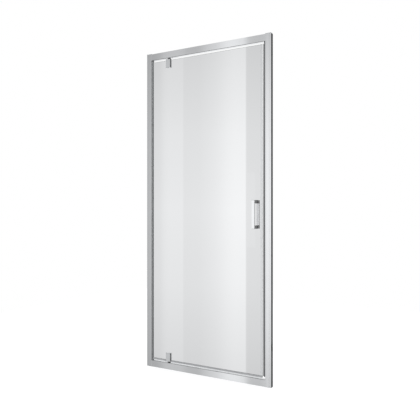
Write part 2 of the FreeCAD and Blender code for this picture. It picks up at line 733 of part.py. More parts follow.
def glass_leaf():
    """The pane, notched for the pivot lugs and drilled for the screws and handles."""
    body = piece("glass_leaf")
    pane = sketch_on(body, "XZ_Plane")
    near_side = "(%s - lug_width / 2 - notch_play)" % PIVOT_X
    far_side = "(%s + lug_width / 2 + notch_play)" % PIVOT_X
    notch_depth = "(lug_depth + notch_play)"
    outline(pane, (
        (GLASS_LEFT, GLASS_BOTTOM),
        (near_side, GLASS_BOTTOM),
        (near_side, "%s + %s" % (GLASS_BOTTOM, notch_depth)),
        (far_side, "%s + %s" % (GLASS_BOTTOM, notch_depth)),
        (far_side, GLASS_BOTTOM),
        (GLASS_RIGHT, GLASS_BOTTOM),
        (GLASS_RIGHT, GLASS_TOP),
        (far_side, GLASS_TOP),
        (far_side, "%s - %s" % (GLASS_TOP, notch_depth)),
        (near_side, "%s - %s" % (GLASS_TOP, notch_depth)),
        (near_side, GLASS_TOP),
        (GLASS_LEFT, GLASS_TOP),
    ))
    for edge, sign in ((GLASS_BOTTOM, "+"), (GLASS_TOP, "-")):
        for depth in ("clamp_near", "(clamp_near + clamp_pitch)"):
            circle(pane, PIVOT_X, "%s %s %s" % (edge, sign, depth),
                   SLEEVE_RADIUS + " + sleeve_play")
    for sign in ("+", "-"):
        circle(pane, "overall_width / 2 - handle_inset",
               "handle_level %s %s / 2" % (sign, HANDLE_PITCH), "glass_hole_radius")
    pad(body, pane, "glass_thickness", both_ways=True)
    inner = [value("%s %s %s" % (edge, sign, notch_depth))
             for edge, sign in ((GLASS_BOTTOM, "+"), (GLASS_TOP, "-"))]
    dress(body, "Fillet", "notch_corner", lambda edge: runs_along(edge, Vector(0, 1, 0))
          and any(near(edge.Vertexes[0].Z, level) for level in inner))
    face = value("glass_thickness / 2")
    long_edge = 3 * value("lug_width")
    dress(body, "Chamfer", "glass_edge", lambda edge: straight(edge)
          and edge.Length > long_edge and near(abs(edge.BoundBox.YMax), face)
          and near(edge.BoundBox.YMin, edge.BoundBox.YMax))


def pivot_block(label, level, turn):
    """The block on the room side: a thick leg, a bridge over the glass, and a lug in the notch.

    It is drawn for the top of the leaf, with the edge of the glass at the origin.
    """
    body = piece(label, x=PIVOT_X, z=level, turn=turn)
    foot = "(block_overhang - block_height)"
    section = sketch_on(body, "YZ_Plane")
    outline(section, (
        ("-block_front", foot),
        ("-" + PAD_FACE, foot),
        ("-" + PAD_FACE, "bridge_clearance"),
        (PAD_FACE, "bridge_clearance"),
        (PAD_FACE, "block_overhang"),
        ("-block_front", "block_overhang"),
    ))
    pad(body, section, "block_width", both_ways=True)
    lug = sketch_on(body, "YZ_Plane")
    rectangle(lug, "-" + PAD_FACE, PAD_FACE, "-lug_depth", "block_overhang")
    pad(body, lug, "lug_width", both_ways=True)
    pin_bore = sketch_on(body, "XY_Plane", level="block_overhang")
    circle(pin_bore, "0", "0", "spigot_radius + screw_play")
    pocket(body, pin_bore, "block_overhang + spigot_depth")
    threads = sketch_on(body, "XZ_Plane", level=PAD_FACE)
    for depth in ("-clamp_near", "-(clamp_near + clamp_pitch)"):
        circle(threads, "0", depth, "clamp_radius + screw_play")
    pocket(body, threads, "clamp_grip + clamp_radius", along_normal=True)
    front = -value("block_front")
    dress(body, "Fillet", "block_corner",
          lambda edge: straight(edge) and lies_at(edge, y=front))


def clamp_plate(label, level, turn):
    """The plate on the shower side that the clamp screws pull against the glass."""
    body = piece(label, x=PIVOT_X, z=level, turn=turn)
    plate = sketch_on(body, "XZ_Plane", level="-" + PAD_FACE)
    rectangle(plate, "-plate_width / 2", "plate_width / 2",
              "block_overhang - block_height + plate_margin", "block_overhang")
    for depth in ("-clamp_near", "-(clamp_near + clamp_pitch)"):
        circle(plate, "0", depth, "clamp_radius + screw_clearance")
    pad(body, plate, "plate_thickness", back=True)
    back = value("%s + plate_thickness" % PAD_FACE)
    dress(body, "Fillet", "plate_corner",
          lambda edge: straight(edge) and lies_at(edge, y=back))
    dress(body, "Chamfer", "clamp_head_radius - clamp_radius - screw_clearance",
          lambda edge: not straight(edge) and lies_at(edge, y=back)
          and near(edge.BoundBox.XLength, 2 * value("clamp_radius + screw_clearance")))


def block_gaskets(label, level, turn):
    """The two soft pads between the glass and its block and plate."""
    body = piece(label, x=PIVOT_X, z=level, turn=turn)
    hole = SLEEVE_RADIUS + " + sleeve_play"
    notch = "(lug_width / 2 + notch_play)"
    sides = (
        ("block_width", "(block_overhang - block_height)", "glass_thickness / 2"),
        ("plate_width", "(block_overhang - block_height + plate_margin)", "-" + PAD_FACE),
    )
    for width, foot, level_off_middle in sides:
        sheet_pad = sketch_on(body, "XZ_Plane", level=level_off_middle)
        edge = "(%s / 2)" % width
        outline(sheet_pad, (
            ("-" + edge, foot),
            (edge, foot),
            (edge, "0"),
            (notch, "0"),
            (notch, "-lug_depth - notch_play"),
            ("-" + notch, "-lug_depth - notch_play"),
            ("-" + notch, "0"),
            ("-" + edge, "0"),
        ))
        for depth in ("-clamp_near", "-(clamp_near + clamp_pitch)"):
            circle(sheet_pad, "0", depth, hole)
        pad(body, sheet_pad, "pad_thickness")


def clamp_screws(label, level, turn):
    """The two countersunk screws from the plate into the block."""
    body = piece(label, x=PIVOT_X, z=level, turn=turn)
    profile = sketch_on(body, "XY_Plane", y=PAD_FACE + " + plate_thickness",
                        level="-clamp_near")
    tip = "(2 * %s + plate_thickness + clamp_grip)" % PAD_FACE
    outline(profile, (
        ("0", "0"),
        ("clamp_head_radius", "0"),
        ("clamp_radius", "clamp_radius - clamp_head_radius"),
        ("clamp_radius", "clamp_radius - " + tip),
        ("0", "-" + tip),
    ))
    screw = revolve(body, profile, "V_Axis")
    lower_row(body, screw)


def lower_row(body, feature):
    """The second of two pieces, one clamp pitch further from the edge of the glass."""
    pattern = row_of(body, feature, "Z_Axis", "clamp_pitch", "2")
    pattern.Reversed = True
    finish(body, pattern)


def clamp_sleeves(label, level, turn):
    """The hard sleeves that keep the clamp screws off the glass."""
    body = piece(label, x=PIVOT_X, z=level, turn=turn)
    profile = sketch_on(body, "XY_Plane", level="-clamp_near")
    rectangle(profile, "clamp_radius + screw_clearance", SLEEVE_RADIUS,
              "-" + PAD_FACE, PAD_FACE)
    sleeve = revolve(body, profile, "V_Axis")
    lower_row(body, sleeve)


def pivot_pin(label, level, turn, gap, stack):
    """The pin on a block: a threaded spigot, a collar, and the journal that turns in the bush."""
    body = piece(label, x=PIVOT_X, z=level, turn=turn)
    collar_end = "(%s - %s - pivot_play)" % (gap, stack)
    profile = sketch_on(body, "XZ_Plane")
    outline(profile, (
        ("0", "-spigot_depth"),
        ("spigot_radius", "-spigot_depth"),
        ("spigot_radius", "block_overhang"),
        ("collar_radius", "block_overhang"),
        ("collar_radius", collar_end),
        ("journal_radius", collar_end),
        ("journal_radius", "%s + journal_depth - journal_tip" % gap),
        ("journal_radius - journal_tip", "%s + journal_depth" % gap),
        ("0", "%s + journal_depth" % gap),
    ))
    revolve(body, profile, "V_Axis")


def closing_seal():
    """The clear seal on the free edge of the glass, with its magnet chamber."""
    bottom = "(%s + drip_leg + drip_setback)" % GLASS_BOTTOM
    body = piece("closing_seal", x=GLASS_RIGHT, z=bottom)
    section = sketch_on(body, "XY_Plane")
    inside = "(%s - seal_skin)" % CLIP_HALF
    half = (
        ("seal_play", inside),
        ("-clip_length", inside),
        ("-clip_length", CLIP_HALF),
        ("seal_play + seal_skin", CLIP_HALF),
        ("seal_play + seal_skin", "closing_half"),
        ("closing_reach", "closing_half"),
    )
    mirrored = [(x, "-" + y) for x, y in reversed(half)]
    outline(section, list(half) + mirrored)
    chamber = "(closing_half - seal_skin)"
    rectangle(section, "closing_web", "closing_reach - seal_skin", "-" + chamber, chamber)
    pad(body, section, "%s - %s" % (GLASS_TOP, bottom))
    magnet = piece("closing_magnet", x=GLASS_RIGHT, z=bottom)
    strip = sketch_on(magnet, "XY_Plane")
    half_strip = "(closing_half - seal_skin - magnet_play)"
    rectangle(strip, "closing_web + magnet_play", "closing_reach - seal_skin - magnet_play",
              "-" + half_strip, half_strip)
    pad(magnet, strip, "%s - %s" % (GLASS_TOP, bottom))


def bottom_seal(label, start, end):
    """One length of the drip seal under the glass, with its blade down to the rail."""
    body = piece(label, x=start, z=GLASS_BOTTOM)
    inside = "(%s - seal_skin)" % CLIP_HALF
    section = sketch_on(body, "YZ_Plane")
    half = (
        (inside, "-seal_play"),
        (inside, "drip_leg"),
        (CLIP_HALF, "drip_leg"),
        (CLIP_HALF, "-drip_chamber"),
        ("drip_blade / 2", "-drip_chamber"),
        ("drip_blade / 2", "drip_gap - gap_under_leaf"),
    )
    mirrored = [("-" + y, z) for y, z in reversed(half)]
    outline(section, list(half) + mirrored)
    rectangle(section, "-" + inside, inside, "seal_skin - drip_chamber",
              "-seal_play - seal_skin")
    pad(body, section, "%s - %s" % (end, start))


# ---------------------------------------------------------------- the handles


def handle_piece(label, turn=UPRIGHT):
    """A sub-part at the middle of the handles, in the middle of the glass."""
    return piece(label, x="overall_width / 2 - handle_inset", z="handle_level", turn=turn)


def handle(label, turn, locked):
    """One square-set grip on two legs, bored for the studs that join it to the other."""
    body = handle_piece(label, turn)
    end = "handle_height / 2"
    leg = "(handle_height / 2 - handle_leg)"
    grip_back = "(handle_bar - handle_reach)"
    side = sketch_on(body, "YZ_Plane")
    outline(side, (
        ("-" + PAD_FACE, end),
        ("-handle_reach", end),
        ("-handle_reach", "-" + end),
        ("-" + PAD_FACE, "-" + end),
        ("-" + PAD_FACE, "-" + leg),
        (grip_back, "-" + leg),
        (grip_back, leg),
        ("-" + PAD_FACE, leg),
    ))
    pad(body, side, "handle_width", both_ways=True)
    front = -value("handle_reach")
    behind_grip = value(grip_back)
    across = Vector(1, 0, 0)
    dress(body, "Fillet", "handle_corner",
          lambda edge: runs_along(edge, across) and lies_at(edge, y=front))
    dress(body, "Fillet", "handle_fillet",
          lambda edge: runs_along(edge, across) and lies_at(edge, y=behind_grip))
    dress(body, "Chamfer", "handle_edge",
          lambda edge: runs_along(edge, Vector(0, 0, 1)) and lies_at(edge, y=front))
    bores = sketch_on(body, "XZ_Plane", level=PAD_FACE)
    for z in ("%s / 2" % HANDLE_PITCH, "-%s / 2" % HANDLE_PITCH):
        circle(bores, "0", z, "stud_radius + screw_play")
    pocket(body, bores, "stud_grip + stud_bore_spare", along_normal=True)
    if locked:
        threads = sketch_on(body, "YZ_Plane")
        for z in ("%s / 2" % HANDLE_PITCH, "-%s / 2" % HANDLE_PITCH):
            circle(threads, "-%s - grub_setback" % PAD_FACE, z, "grub_radius + screw_play")
        pocket(body, threads, "handle_width", along_normal=True)


def handle_gaskets():
    """The four black gaskets between the legs and the glass."""
    body = handle_piece("handle_gaskets")
    leg = sketch_on(body, "XZ_Plane", level="glass_thickness / 2")
    half = "(handle_width / 2 + gasket_lip)"
    rectangle(leg, "-" + half, half, "handle_height / 2 - handle_leg - gasket_lip",
              "handle_height / 2 + gasket_lip")
    circle(leg, "0", "%s / 2" % HANDLE_PITCH, "stud_radius + screw_clearance")
    gasket = pad(body, leg, "pad_thickness")
    repeated(body, gasket, mirrors=("XZ_Plane", "XY_Plane"))


def handle_turned(label, corners):
    """A turned piece on the axis of each handle hole."""
    body = handle_piece(label)
    profile = sketch_on(body, "XY_Plane", level="%s / 2" % HANDLE_PITCH)
    outline(profile, corners)
    turned = revolve(body, profile, "V_Axis")
    repeated(body, turned, mirrors=("XY_Plane",))


def handle_sleeves():
    """The sleeves in the glass round the studs."""
    outside = "(glass_hole_radius - sleeve_play)"
    inside = "(stud_radius + screw_clearance)"
    half = "glass_thickness / 2"
    handle_turned("handle_sleeves", (
        (inside, "-" + half),
        (outside, "-" + half),
        (outside, half),
        (inside, half),
    ))


def handle_studs():
    """The threaded studs from one handle to the other."""
    end = "(%s + stud_grip)" % PAD_FACE
    handle_turned("handle_studs", (
        ("0", "-" + end),
        ("stud_radius", "-" + end),
        ("stud_radius", end),
        ("0", end),
    ))


def handle_grub_screws():
    """The grub screws in the legs on the shower side, on the side towards the hinge."""
    body = handle_piece("handle_grub_screws")
    profile = sketch_on(body, "XY_Plane", y="%s + grub_setback" % PAD_FACE,
                        level="%s / 2" % HANDLE_PITCH)
    rectangle(profile, "grub_sink - handle_width / 2", "-stud_radius - screw_play",
              "0", "grub_radius")
    screw = revolve(body, profile, "H_Axis")
    repeated(body, screw, mirrors=("XY_Plane",))


# ---------------------------------------------------------------- the whole door


def build_frame():
    for name, side in (("left", LEFT), ("right", RIGHT)):
        wall_profile("wall_profile_" + name, side)
        jamb("jamb_" + name, side)
        end_cap("end_cap_" + name, side)
    rail("top_rail", RAIL_UNDERSIDE, UPRIGHT)
    rail("bottom_rail", "rail_height", ROLLED_OVER)
    corner_screws()
    width_screws()
    width_screw_caps()
    strike_seal()
    strike_magnet()
    hinge_seal()
    for name, level, turn in (("top", RAIL_UNDERSIDE, UPRIGHT),
                              ("bottom", "rail_height", UPSIDE_DOWN)):
        bush(name + "_pivot_bush", level, turn)
        carrier(name + "_pivot_carrier", level, turn)
        carrier_screws(name + "_carrier_screws", level, turn)
    thrust_washer()


def build_leaf():
    glass_leaf()
    ends = (
        ("top", GLASS_TOP, UPRIGHT, "gap_over_leaf", "flange_thickness"),
        ("bottom", GLASS_BOTTOM, UPSIDE_DOWN, "gap_under_leaf",
         "flange_thickness - washer_thickness"),
    )
    for name, level, turn, gap, stack in ends:
        pivot_block(name + "_pivot_block", level, turn)
        clamp_plate(name + "_clamp_plate", level, turn)
        block_gaskets(name + "_block_gaskets", level, turn)
        clamp_screws(name + "_clamp_screws", level, turn)
        clamp_sleeves(name + "_clamp_sleeves", level, turn)
        pivot_pin(name + "_pivot_pin", level, turn, gap, stack)
    closing_seal()
    block_side = "(block_width / 2 + drip_setback)"
    bottom_seal("bottom_seal_left", "(%s + drip_setback)" % GLASS_LEFT,
                "(%s - %s)" % (PIVOT_X, block_side))
    bottom_seal("bottom_seal_right", "(%s + %s)" % (PIVOT_X, block_side),
                "(%s - drip_setback)" % GLASS_RIGHT)


def build_handles():
    handle("handle_front", UPRIGHT, locked=False)
    handle("handle_back", Rotation(Vector(0, 0, 1), 180), locked=True)
    handle_gaskets()
    handle_sleeves()
    handle_studs()
    handle_grub_screws()


def check_and_write():
    """Stop on any failed object, then write one file for each sub-part."""
    doc.recompute()
    for item in doc.Objects:
        if "Invalid" in item.State or "Error" in item.State:
            raise RuntimeError("%s failed: %s" % (item.Label, item.State))
    for body in pieces:
        if body.Shape.isNull() or not body.Shape.isValid():
            raise RuntimeError("%s has no valid shape" % body.Label)
    os.makedirs("parts", exist_ok=True)
    for body in pieces:
        body.Shape.exportStep("parts/%s.step" % body.Label)


build_frame()
build_leaf()
build_handles()
check_and_write()
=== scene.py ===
"""A framed pivot shower door: clear glass leaf, polished aluminium frame, chrome pivots and handles."""

import math

import bpy
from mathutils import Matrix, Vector


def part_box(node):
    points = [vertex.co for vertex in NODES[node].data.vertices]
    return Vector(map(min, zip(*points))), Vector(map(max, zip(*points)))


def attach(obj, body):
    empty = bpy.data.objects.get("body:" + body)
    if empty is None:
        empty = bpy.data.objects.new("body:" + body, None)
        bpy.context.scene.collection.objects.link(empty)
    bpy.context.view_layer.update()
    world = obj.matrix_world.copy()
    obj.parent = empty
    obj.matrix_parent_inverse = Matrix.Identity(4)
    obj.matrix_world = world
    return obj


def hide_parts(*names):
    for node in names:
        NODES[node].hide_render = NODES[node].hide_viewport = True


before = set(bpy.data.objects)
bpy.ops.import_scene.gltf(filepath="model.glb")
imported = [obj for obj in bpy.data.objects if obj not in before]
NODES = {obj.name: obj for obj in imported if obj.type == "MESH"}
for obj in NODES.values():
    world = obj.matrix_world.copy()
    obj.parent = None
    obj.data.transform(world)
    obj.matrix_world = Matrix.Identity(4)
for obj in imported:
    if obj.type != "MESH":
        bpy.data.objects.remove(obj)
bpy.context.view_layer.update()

MM = 0.001
DRIP_CHAMBER = 5 * MM  # the bottom seals' chamber under the glass; their blade starts below it
GROUND_EDGE = 0.45 * MM  # depth of the ground bevel round the pane
# How far beyond the glass the closing seal starts to darken, and where its grey is full.
SEAL_MILKY, SEAL_GREY = 4.6 * MM, 6.1 * MM
MILKY_LEVEL, GREY_LEVEL = 0.72, 0.30

# The camera stands at the door's middle height, to the right of its front.
CAMERA_PLACE = (1.515, -2.5625, 0.926)
CAMERA_TURN = math.radians(30.16)
CAMERA_LENS = 45.59
SENSOR_WIDTH = 36.0
CAMERA_REACH = 50.0

# The studio, by the angle from straight in front of the door in degrees, growing to the left:
# (angle, brightness). MIRRORED is what the metal mirrors, SEEN_THROUGH what shows through the glass.
MIRRORED = (
    (-180, 0.75), (-163, 0.70), (-158, 0.125), (-149, 0.125), (-147, 0.142), (-143, 0.14), (-138, 0.60),
    (-125, 0.85), (-95, 0.80), (-60, 0.60), (-40, 0.80), (0, 0.95), (18, 1.00), (42, 0.60), (60, 0.75),
    (95, 0.85), (125, 0.80), (135, 1.10), (160, 1.15), (180, 0.75),
)
SEEN_THROUGH = (
    (-180, 0.82), (-150, 0.78), (-120, 0.84), (-60, 0.88), (-30, 0.86), (0, 0.82), (30, 0.88), (60, 0.84),
    (120, 0.80), (138, 0.74), (162, 0.78), (180, 0.82),
)
# Screens with sharp edges. Between their first and last angle FRONT_SCREENS takes over from MIRRORED,
# and BACK_SCREENS from SEEN_THROUGH.
FRONT_SCREENS = (
    (18, 1.05), (23.3, 1.16), (23.7, 1.27), (24.1, 1.14), (24.6, 0.82), (26.1, 0.84), (26.4, 1.25),
    (28.3, 1.30), (29.1, 1.10), (29.8, 0.99), (30.6, 0.92), (31.3, 0.72), (32.8, 0.74), (33.0, 0.84),
    (35.1, 0.84), (35.5, 0.66), (36.2, 0.60), (42, 0.62),
)
BACK_SCREENS = (
    (142, 0.735), (143.0, 0.735), (144.4, 0.772), (145.0, 0.814), (145.4, 0.83), (146.9, 0.83),
    (147.0, 0.787), (149.5, 0.803), (150.4, 0.826), (152.5, 0.89), (153.66, 0.895), (153.74, 0.758),
    (157, 0.752),
)
# Small cards that the metal mirrors: (from angle, to angle, from climb, to climb, brightness added).
# The climb of a line of sight is its height over its length: 0 is level and 1 is straight up.
CARDS = (
    (25.3, 26.2, -0.07, 0.07, 0.20),  # a light one level with the handles
    (146.5, 160, -0.45, -0.15, 0.17),  # a light one low behind the door, for the top rail's underside
)
CARDS_BEHIND_GLASS = ((24.5, 25.28, -0.07, 0.07, -0.27),)  # a dark one that only the back handle mirrors
# How the glass's bands fall off above and below eye level: (climb up or down, share).
FALL_OFF = ((0.0, 1.0), (0.14, 0.96), (0.25, 0.875), (0.33, 0.80), (0.5, 0.74), (1.0, 0.95))
# The same for the metal, whose bevels mirror a dark gap between the screens and the white above them.
METAL_FALL_OFF = (
    (0.0, 1.0), (0.14, 0.96), (0.25, 0.86), (0.33, 0.74), (0.5, 0.72), (0.66, 0.45), (0.76, 0.12),
    (0.90, 0.12), (0.97, 0.6), (1.0, 0.95),
)
# The screen that the right jamb mirrors darkens to its ends: its angles, and (climb, share).
JAMB_SCREEN = (22.5, 24.45)
JAMB_FALL_OFF = (
    (-0.32, 0.88), (-0.20, 0.94), (0.0, 0.975), (0.14, 0.965), (0.19, 0.945), (0.24, 0.915), (0.29, 0.86),
    (0.32, 0.81),
)
SCREEN_TINT = (0.985, 0.993, 1.0)
ROOM_LIGHT = (0.80, 0.81, 0.82, 1)  # what lights the dull surfaces
WHITE = (1, 1, 1, 1)
FLOOR_SIZE = 5.0
FLOOR_GLOW = 0.62  # brings the floor to white where no shadow falls
FLOOR_PAINT = (0.5, 0.5, 0.5, 1)
# Soft lamps: (name, place, side length, watts), all aimed at the middle of the door.
LAMPS = (
    ("front_lamp", (-1.8, -3.0, 2.6), 1.6, 40),
    ("side_lamp", (2.6, -1.6, 2.2), 1.4, 22),
    ("back_lamp", (0.8, 2.8, 2.4), 1.6, 25),
)
LAMP_AIM = (0, 0, 0.9)

# Die lines and extrusion lines run along a piece: how far a pattern is drawn out on X, Y and Z.
UPRIGHT = (1, 1, 400)
LEVEL = (400, 1, 1)

# Screws, as the CAD sizes them, with sockets that it leaves out: (across the corners, depth).
SCREW_SIDES = 48
SMOOTH_UP_TO = math.radians(35)
HEAD_RIM = 0.25 * MM
CLAMP_RADIUS, CLAMP_HEAD_RADIUS, CLAMP_LENGTH = 2.5 * MM, 4.6 * MM, 18.6 * MM
CLAMP_SOCKET = (3.6 * MM, 2.2 * MM)
CARRIER_RADIUS, CARRIER_HEAD_RADIUS, CARRIER_LENGTH = 2.0 * MM, 3.4 * MM, 12.0 * MM
CARRIER_RECESS = (4.2 * MM, 0.95 * MM, 1.7 * MM)  # a cross's reach, the width of its slots and depth
GRUB_RADIUS, GRUB_LENGTH = 2.0 * MM, 4.4 * MM
GRUB_SOCKET = (2.4 * MM, 1.8 * MM)


class Nodes:
    """The node tree of one material or world, with short ways to add and join nodes."""

    def __init__(self, owner):
        owner.use_nodes = True
        self.tree = owner.node_tree
        self.tree.nodes.clear()

    def add(self, kind, **settings):
        node = self.tree.nodes.new("ShaderNode" + kind)
        for name, setting in settings.items():
            setattr(node, name, setting)
        return node

    def join(self, source, target):
        self.tree.links.new(source, target)

    def math(self, operation, first, second=None):
        """A Math node on sockets or plain numbers; returns its output."""
        node = self.add("Math", operation=operation)
        for socket, value in zip(node.inputs, (first, second)):
            if value is None:
                continue
            if isinstance(value, (int, float)):
                socket.default_value = value
            else:
                self.join(value, socket)
        return node.outputs[0]

    def mix(self, share, first, second):
        """A colour Mix node; returns its output."""
        node = self.add("Mix", data_type="RGBA")
        factor, colour_a, colour_b = node.inputs[0], node.inputs[6], node.inputs[7]
        for socket, value in zip((factor, colour_a, colour_b), (share, first, second)):
            if isinstance(value, bpy.types.NodeSocket):
                self.join(value, socket)
            else:
                socket.default_value = value
        return node.outputs[2]

    def ramp(self, share, stops):
        """A grey ColorRamp through (place, brightness) stops; returns its output."""
        node = self.add("ValToRGB")
        elements = node.color_ramp.elements
        while len(elements) > 1:
            elements.remove(elements[-1])
        for index, (place, level) in enumerate(stops):
            element = elements[0] if index == 0 else elements.new(place)
            element.position = place
            element.color = (level, level, level, 1)
        self.join(share, node.inputs[0])
        return node.outputs[0]

    def levels(self, value, stops):
        """Brightness through (value, level) stops of any range and height."""
        low, high = stops[0][0], stops[-1][0]
        peak = max(level for _, level in stops)
        share = self.math("DIVIDE", self.math("SUBTRACT", value, low), high - low)
        shades = self.ramp(share, [((v - low) / (high - low), level / peak) for v, level in stops])
        return self.math("MULTIPLY", shades, peak)

    def tinted(self, level, fall):
        """A slightly cool grey of a level, times the fall-off."""
        node = self.add("VectorMath", operation="SCALE")
        node.inputs[0].default_value = SCREEN_TINT
        self.join(self.math("MULTIPLY", level, fall), node.inputs["Scale"])
        return node.outputs[0]


def own_place(n):
    """A place on the piece, in the piece's own coordinates."""
    return n.add("TexCoord").outputs["Object"]


def own_axes(n):
    """The same, as its X, Y and Z."""
    split = n.add("SeparateXYZ")
    n.join(own_place(n), split.inputs[0])
    return split.outputs


def between(n, value, low, high):
    """1 where the value lies between the two limits, else 0."""
    return n.math("MULTIPLY", n.math("GREATER_THAN", value, low), n.math("LESS_THAN", value, high))


def screens(n, angle, around, sharp):
    """Brightness by angle: the soft stops all round, with the sharp ones over their own part."""
    soft = n.levels(angle, around)
    crisp = n.levels(angle, sharp)
    return n.mix(between(n, angle, sharp[0][0], sharp[-1][0]), soft, crisp)


def cards(n, angle, climb, hung):
    """The brightness that a set of small cards adds."""
    total = 0.0
    for left, right, bottom, top, level in hung:
        share = n.math("MULTIPLY", between(n, angle, left, right), between(n, climb, bottom, top))
        total = n.math("ADD", total, n.math("MULTIPLY", share, level))
    return total


def studio_world():
    """White behind the door, with the bands of a photographer's screens in metal and glass."""
    world = bpy.data.worlds.new("studio")
    bpy.context.scene.world = world
    n = Nodes(world)
    place = n.add("TexCoord")
    split = n.add("SeparateXYZ")
    n.join(place.outputs["Generated"], split.inputs[0])
    to_left = n.math("MULTIPLY", split.outputs["X"], -1.0)
    to_front = n.math("MULTIPLY", split.outputs["Y"], -1.0)
    angle = n.math("MULTIPLY", n.math("ARCTAN2", to_left, to_front), 180 / math.pi)
    climb = split.outputs["Z"]
    rise = n.math("ABSOLUTE", climb)
    fall = n.ramp(rise, FALL_OFF)
    metal_fall = n.ramp(rise, METAL_FALL_OFF)
    mirrored = screens(n, angle, MIRRORED, FRONT_SCREENS)
    seen_through = screens(n, angle, SEEN_THROUGH, BACK_SCREENS)
    rays = n.add("LightPath")
    # What the back handle mirrors has crossed the pane's two faces on the way in and again on the way out.
    through_glass = n.math("GREATER_THAN", rays.outputs["Transmission Depth"], 2.5)
    behind = n.math("MULTIPLY", cards(n, angle, climb, CARDS_BEHIND_GLASS), through_glass)
    mirrored = n.math("ADD", n.math("ADD", mirrored, cards(n, angle, climb, CARDS)), behind)
    dimmed = n.math("MULTIPLY", mirrored, n.levels(climb, JAMB_FALL_OFF))
    mirrored = n.mix(between(n, angle, *JAMB_SCREEN), mirrored, dimmed)
    # The depth counts mirrorings alone, while light that passes through glass is a glossy ray too.
    was_mirrored = n.math("GREATER_THAN", rays.outputs["Glossy Depth"], 0.5)
    colour = n.mix(rays.outputs["Is Transmission Ray"], WHITE, n.tinted(seen_through, fall))
    colour = n.mix(was_mirrored, colour, n.tinted(mirrored, metal_fall))
    colour = n.mix(rays.outputs["Is Diffuse Ray"], colour, ROOM_LIGHT)
    colour = n.mix(rays.outputs["Is Camera Ray"], colour, WHITE)
    background = n.add("Background")
    n.join(colour, background.inputs["Color"])
    background.inputs["Strength"].default_value = 1.0
    output = n.add("OutputWorld")
    n.join(background.outputs[0], output.inputs["Surface"])


def studio_floor():
    """A pale floor that shows the door's shadow and is clear to metal and glass."""
    bpy.ops.object.select_all(action="DESELECT")
    bpy.ops.mesh.primitive_plane_add(size=FLOOR_SIZE, location=(0, 0, 0))
    floor = bpy.context.object
    floor.name = "floor"
    material = bpy.data.materials.new("pale_floor")
    n = Nodes(material)
    rays = n.add("LightPath")
    white = n.add("Emission")
    white.inputs["Strength"].default_value = FLOOR_GLOW
    paint = n.add("BsdfDiffuse")
    paint.inputs["Color"].default_value = FLOOR_PAINT
    clear = n.add("BsdfTransparent")
    seen = n.add("AddShader")
    n.join(white.outputs[0], seen.inputs[0])
    n.join(paint.outputs[0], seen.inputs[1])
    lit = n.add("MixShader")
    n.join(rays.outputs["Is Camera Ray"], lit.inputs[0])
    n.join(paint.outputs[0], lit.inputs[1])
    n.join(seen.outputs[0], lit.inputs[2])
    skipped = n.math("MAXIMUM", rays.outputs["Is Glossy Ray"], rays.outputs["Is Transmission Ray"])
    surface = n.add("MixShader")
    n.join(skipped, surface.inputs[0])
    n.join(lit.outputs[0], surface.inputs[1])
    n.join(clear.outputs[0], surface.inputs[2])
    output = n.add("OutputMaterial")
    n.join(surface.outputs[0], output.inputs["Surface"])
    floor.data.materials.append(material)


def soft_lamp(name, place, size, watts):
    """A square soft lamp at a place, aimed at the door. Only what it lights shows, never the lamp."""
    lamp = bpy.data.lights.new(name, "AREA")
    lamp.shape = "SQUARE"
    lamp.size = size
    lamp.energy = watts
    lamp.use_shadow = True
    stand = bpy.data.objects.new(name, lamp)
    bpy.context.scene.collection.objects.link(stand)
    stand.location = place
    stand.rotation_euler = (Vector(LAMP_AIM) - Vector(place)).to_track_quat("-Z", "Y").to_euler()
    stand.visible_glossy = False
    stand.visible_transmission = False
    stand.visible_camera = False


def studio_camera():
    """A level camera, turned towards the door."""
    camera = bpy.data.cameras.new("camera")
    camera.lens = CAMERA_LENS
    camera.sensor_width = SENSOR_WIDTH
    camera.clip_end = CAMERA_REACH
    stand = bpy.data.objects.new("camera", camera)
    bpy.context.scene.collection.objects.link(stand)
    stand.location = CAMERA_PLACE
    stand.rotation_euler = (math.pi / 2, 0, CAMERA_TURN)
    bpy.context.scene.camera = stand


def finish(name, colour, roughness, metallic=0.0, **constants):
    """A material with one Principled shader, and its Nodes. Constants sit on the shader's sockets."""
    material = bpy.data.materials.new(name)
    n = Nodes(material)
    n.shader = n.add("BsdfPrincipled")
    output = n.add("OutputMaterial")
    n.join(n.shader.outputs[0], output.inputs["Surface"])
    n.shader.inputs["Base Color"].default_value = (*colour, 1)
    n.shader.inputs["Metallic"].default_value = metallic
    n.shader.inputs["Roughness"].default_value = roughness
    for socket, value in constants.items():
        n.shader.inputs[socket.replace("_", " ")].default_value = value
    return material, n


def pattern(n, size, detail, stretch=(1, 1, 1)):
    """Noise on the piece's own coordinates, about size metres from one spot to the next."""
    mapping = n.add("Mapping")
    mapping.inputs["Scale"].default_value = tuple(1 / (size * s) for s in stretch)
    noise = n.add("TexNoise")
    noise.inputs["Scale"].default_value = 1.0
    noise.inputs["Detail"].default_value = detail
    n.join(own_place(n), mapping.inputs["Vector"])
    n.join(mapping.outputs[0], noise.inputs["Vector"])
    return noise.outputs[0]


def vary_roughness(n, source, low, high):
    """Roughness from low to high with a pattern, whose noise stays mostly near its middle."""
    spread = n.add("MapRange")
    spread.inputs["From Min"].default_value = 0.3
    spread.inputs["From Max"].default_value = 0.7
    spread.inputs["To Min"].default_value = low
    spread.inputs["To Max"].default_value = high
    n.join(source, spread.inputs["Value"])
    n.join(spread.outputs[0], n.shader.inputs["Roughness"])


def vary_colour(n, source, dark, light):
    """Colour from dark to light with a pattern."""
    n.join(n.mix(source, (*dark, 1), (*light, 1)), n.shader.inputs["Base Color"])


def raise_surface(n, source, height, strength):
    """A bump of the given height in metres with a pattern."""
    bump = n.add("Bump")
    bump.inputs["Strength"].default_value = strength
    bump.inputs["Distance"].default_value = height
    n.join(source, bump.inputs["Height"])
    n.join(bump.outputs[0], n.shader.inputs["Normal"])


